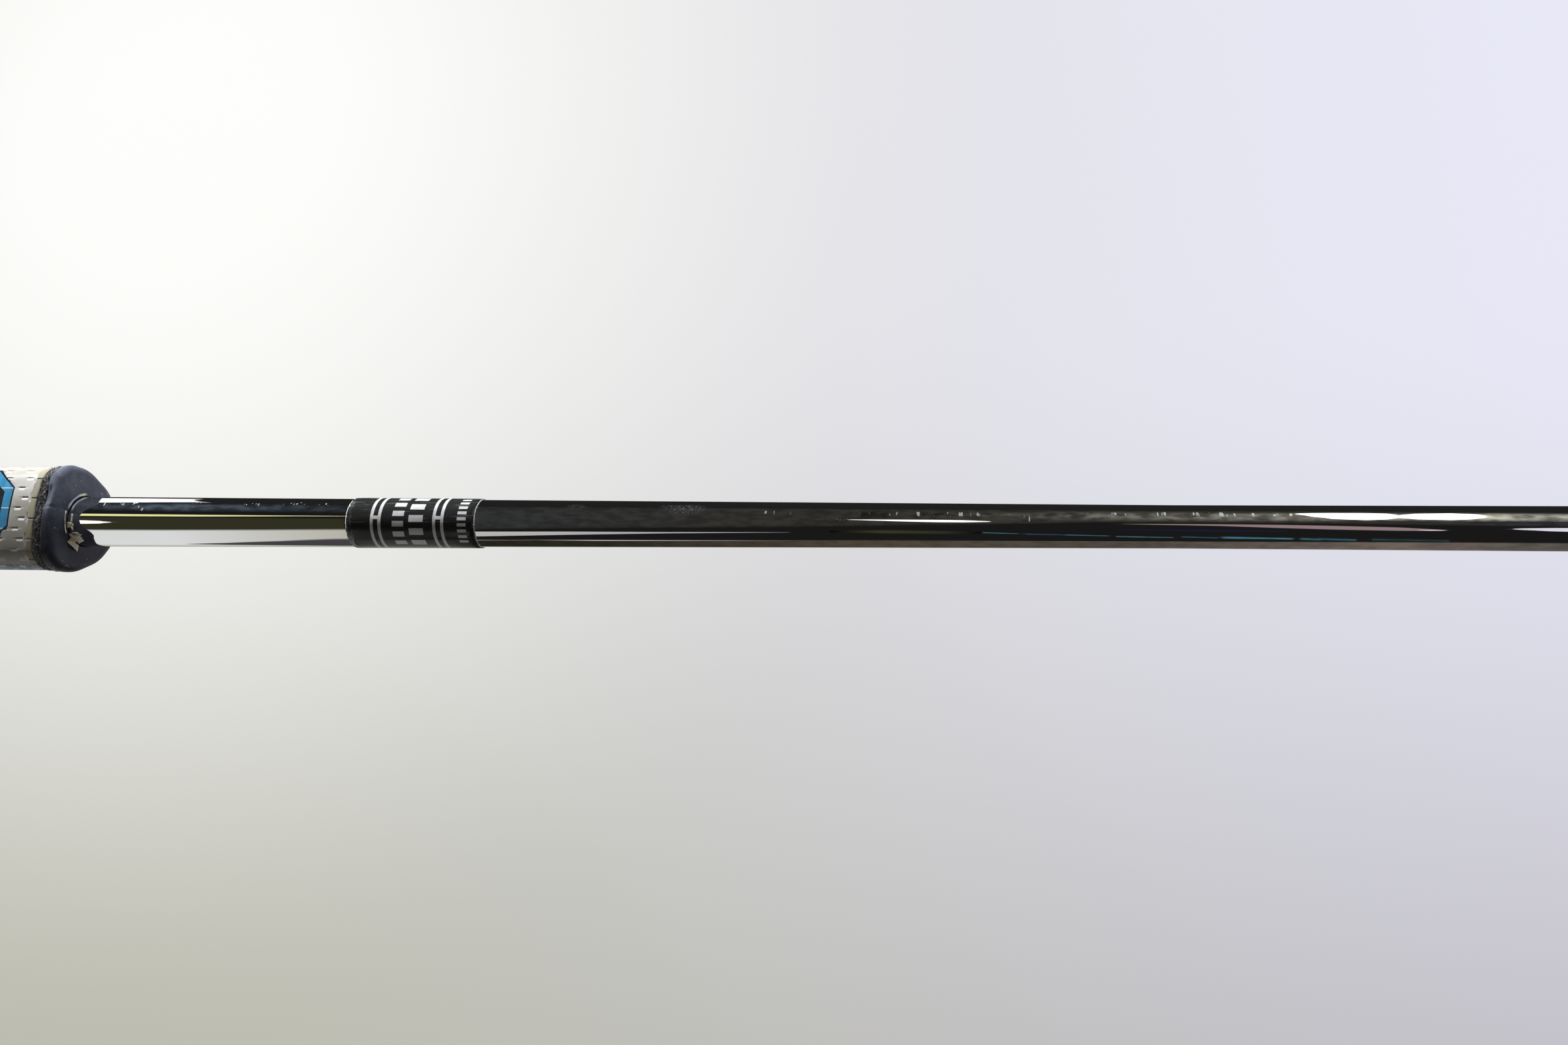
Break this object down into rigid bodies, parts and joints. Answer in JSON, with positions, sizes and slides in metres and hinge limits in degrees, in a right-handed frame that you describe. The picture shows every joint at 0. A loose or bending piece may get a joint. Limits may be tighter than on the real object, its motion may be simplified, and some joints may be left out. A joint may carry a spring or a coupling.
{
  "type": "golf putter grip on its shaft",
  "caption": "Flat-fronted golf putter grip, foam cored with an embossed grey skin and rubber end pieces, on a chromed tapered steel shaft with a label band.",
  "frame": {"origin": "middle of the butt cap's outer face, on the shaft's axis", "axes": "+X along the shaft towards its tip, +Z the way the grip's flat front faces, +Y across the grip"},
  "size_m": [0.8382, 0.0316, 0.026],
  "materials": {
    "shaft_chrome": "polished",
    "tape_paper": "matte",
    "tape_torn": "matte",
    "core_foam": "matte",
    "backing_felt": "matte",
    "skin_grey": "matte",
    "seam_grey": "matte",
    "panel_navy": "satin",
    "panel_blue": "satin",
    "panel_black": "satin",
    "panel_pale_blue": "satin",
    "collar_rubber": "satin",
    "butt_rubber": "matte",
    "band_white": "matte",
    "band_black": "gloss",
    "band_silver": "satin",
    "block_silver": "satin"
  },
  "bodies": {
    "root": {"shaft": "shaft_chrome", "grip_tape": "tape_paper", "tape_scraps": "tape_torn", "foam_core": "core_foam", "skin_backing": "backing_felt", "grip_skin": "skin_grey", "seam_strip": "seam_grey", "panel_border": "panel_navy", "panel_frame": "panel_blue", "panel_field": "panel_black", "panel_lines": "panel_pale_blue", "mouth_collar": "collar_rubber", "butt_cap": "butt_rubber", "band_base": "band_white", "band_face": "band_black", "band_rings": "band_silver", "band_blocks": "block_silver"}
  },
  "joints": []
}
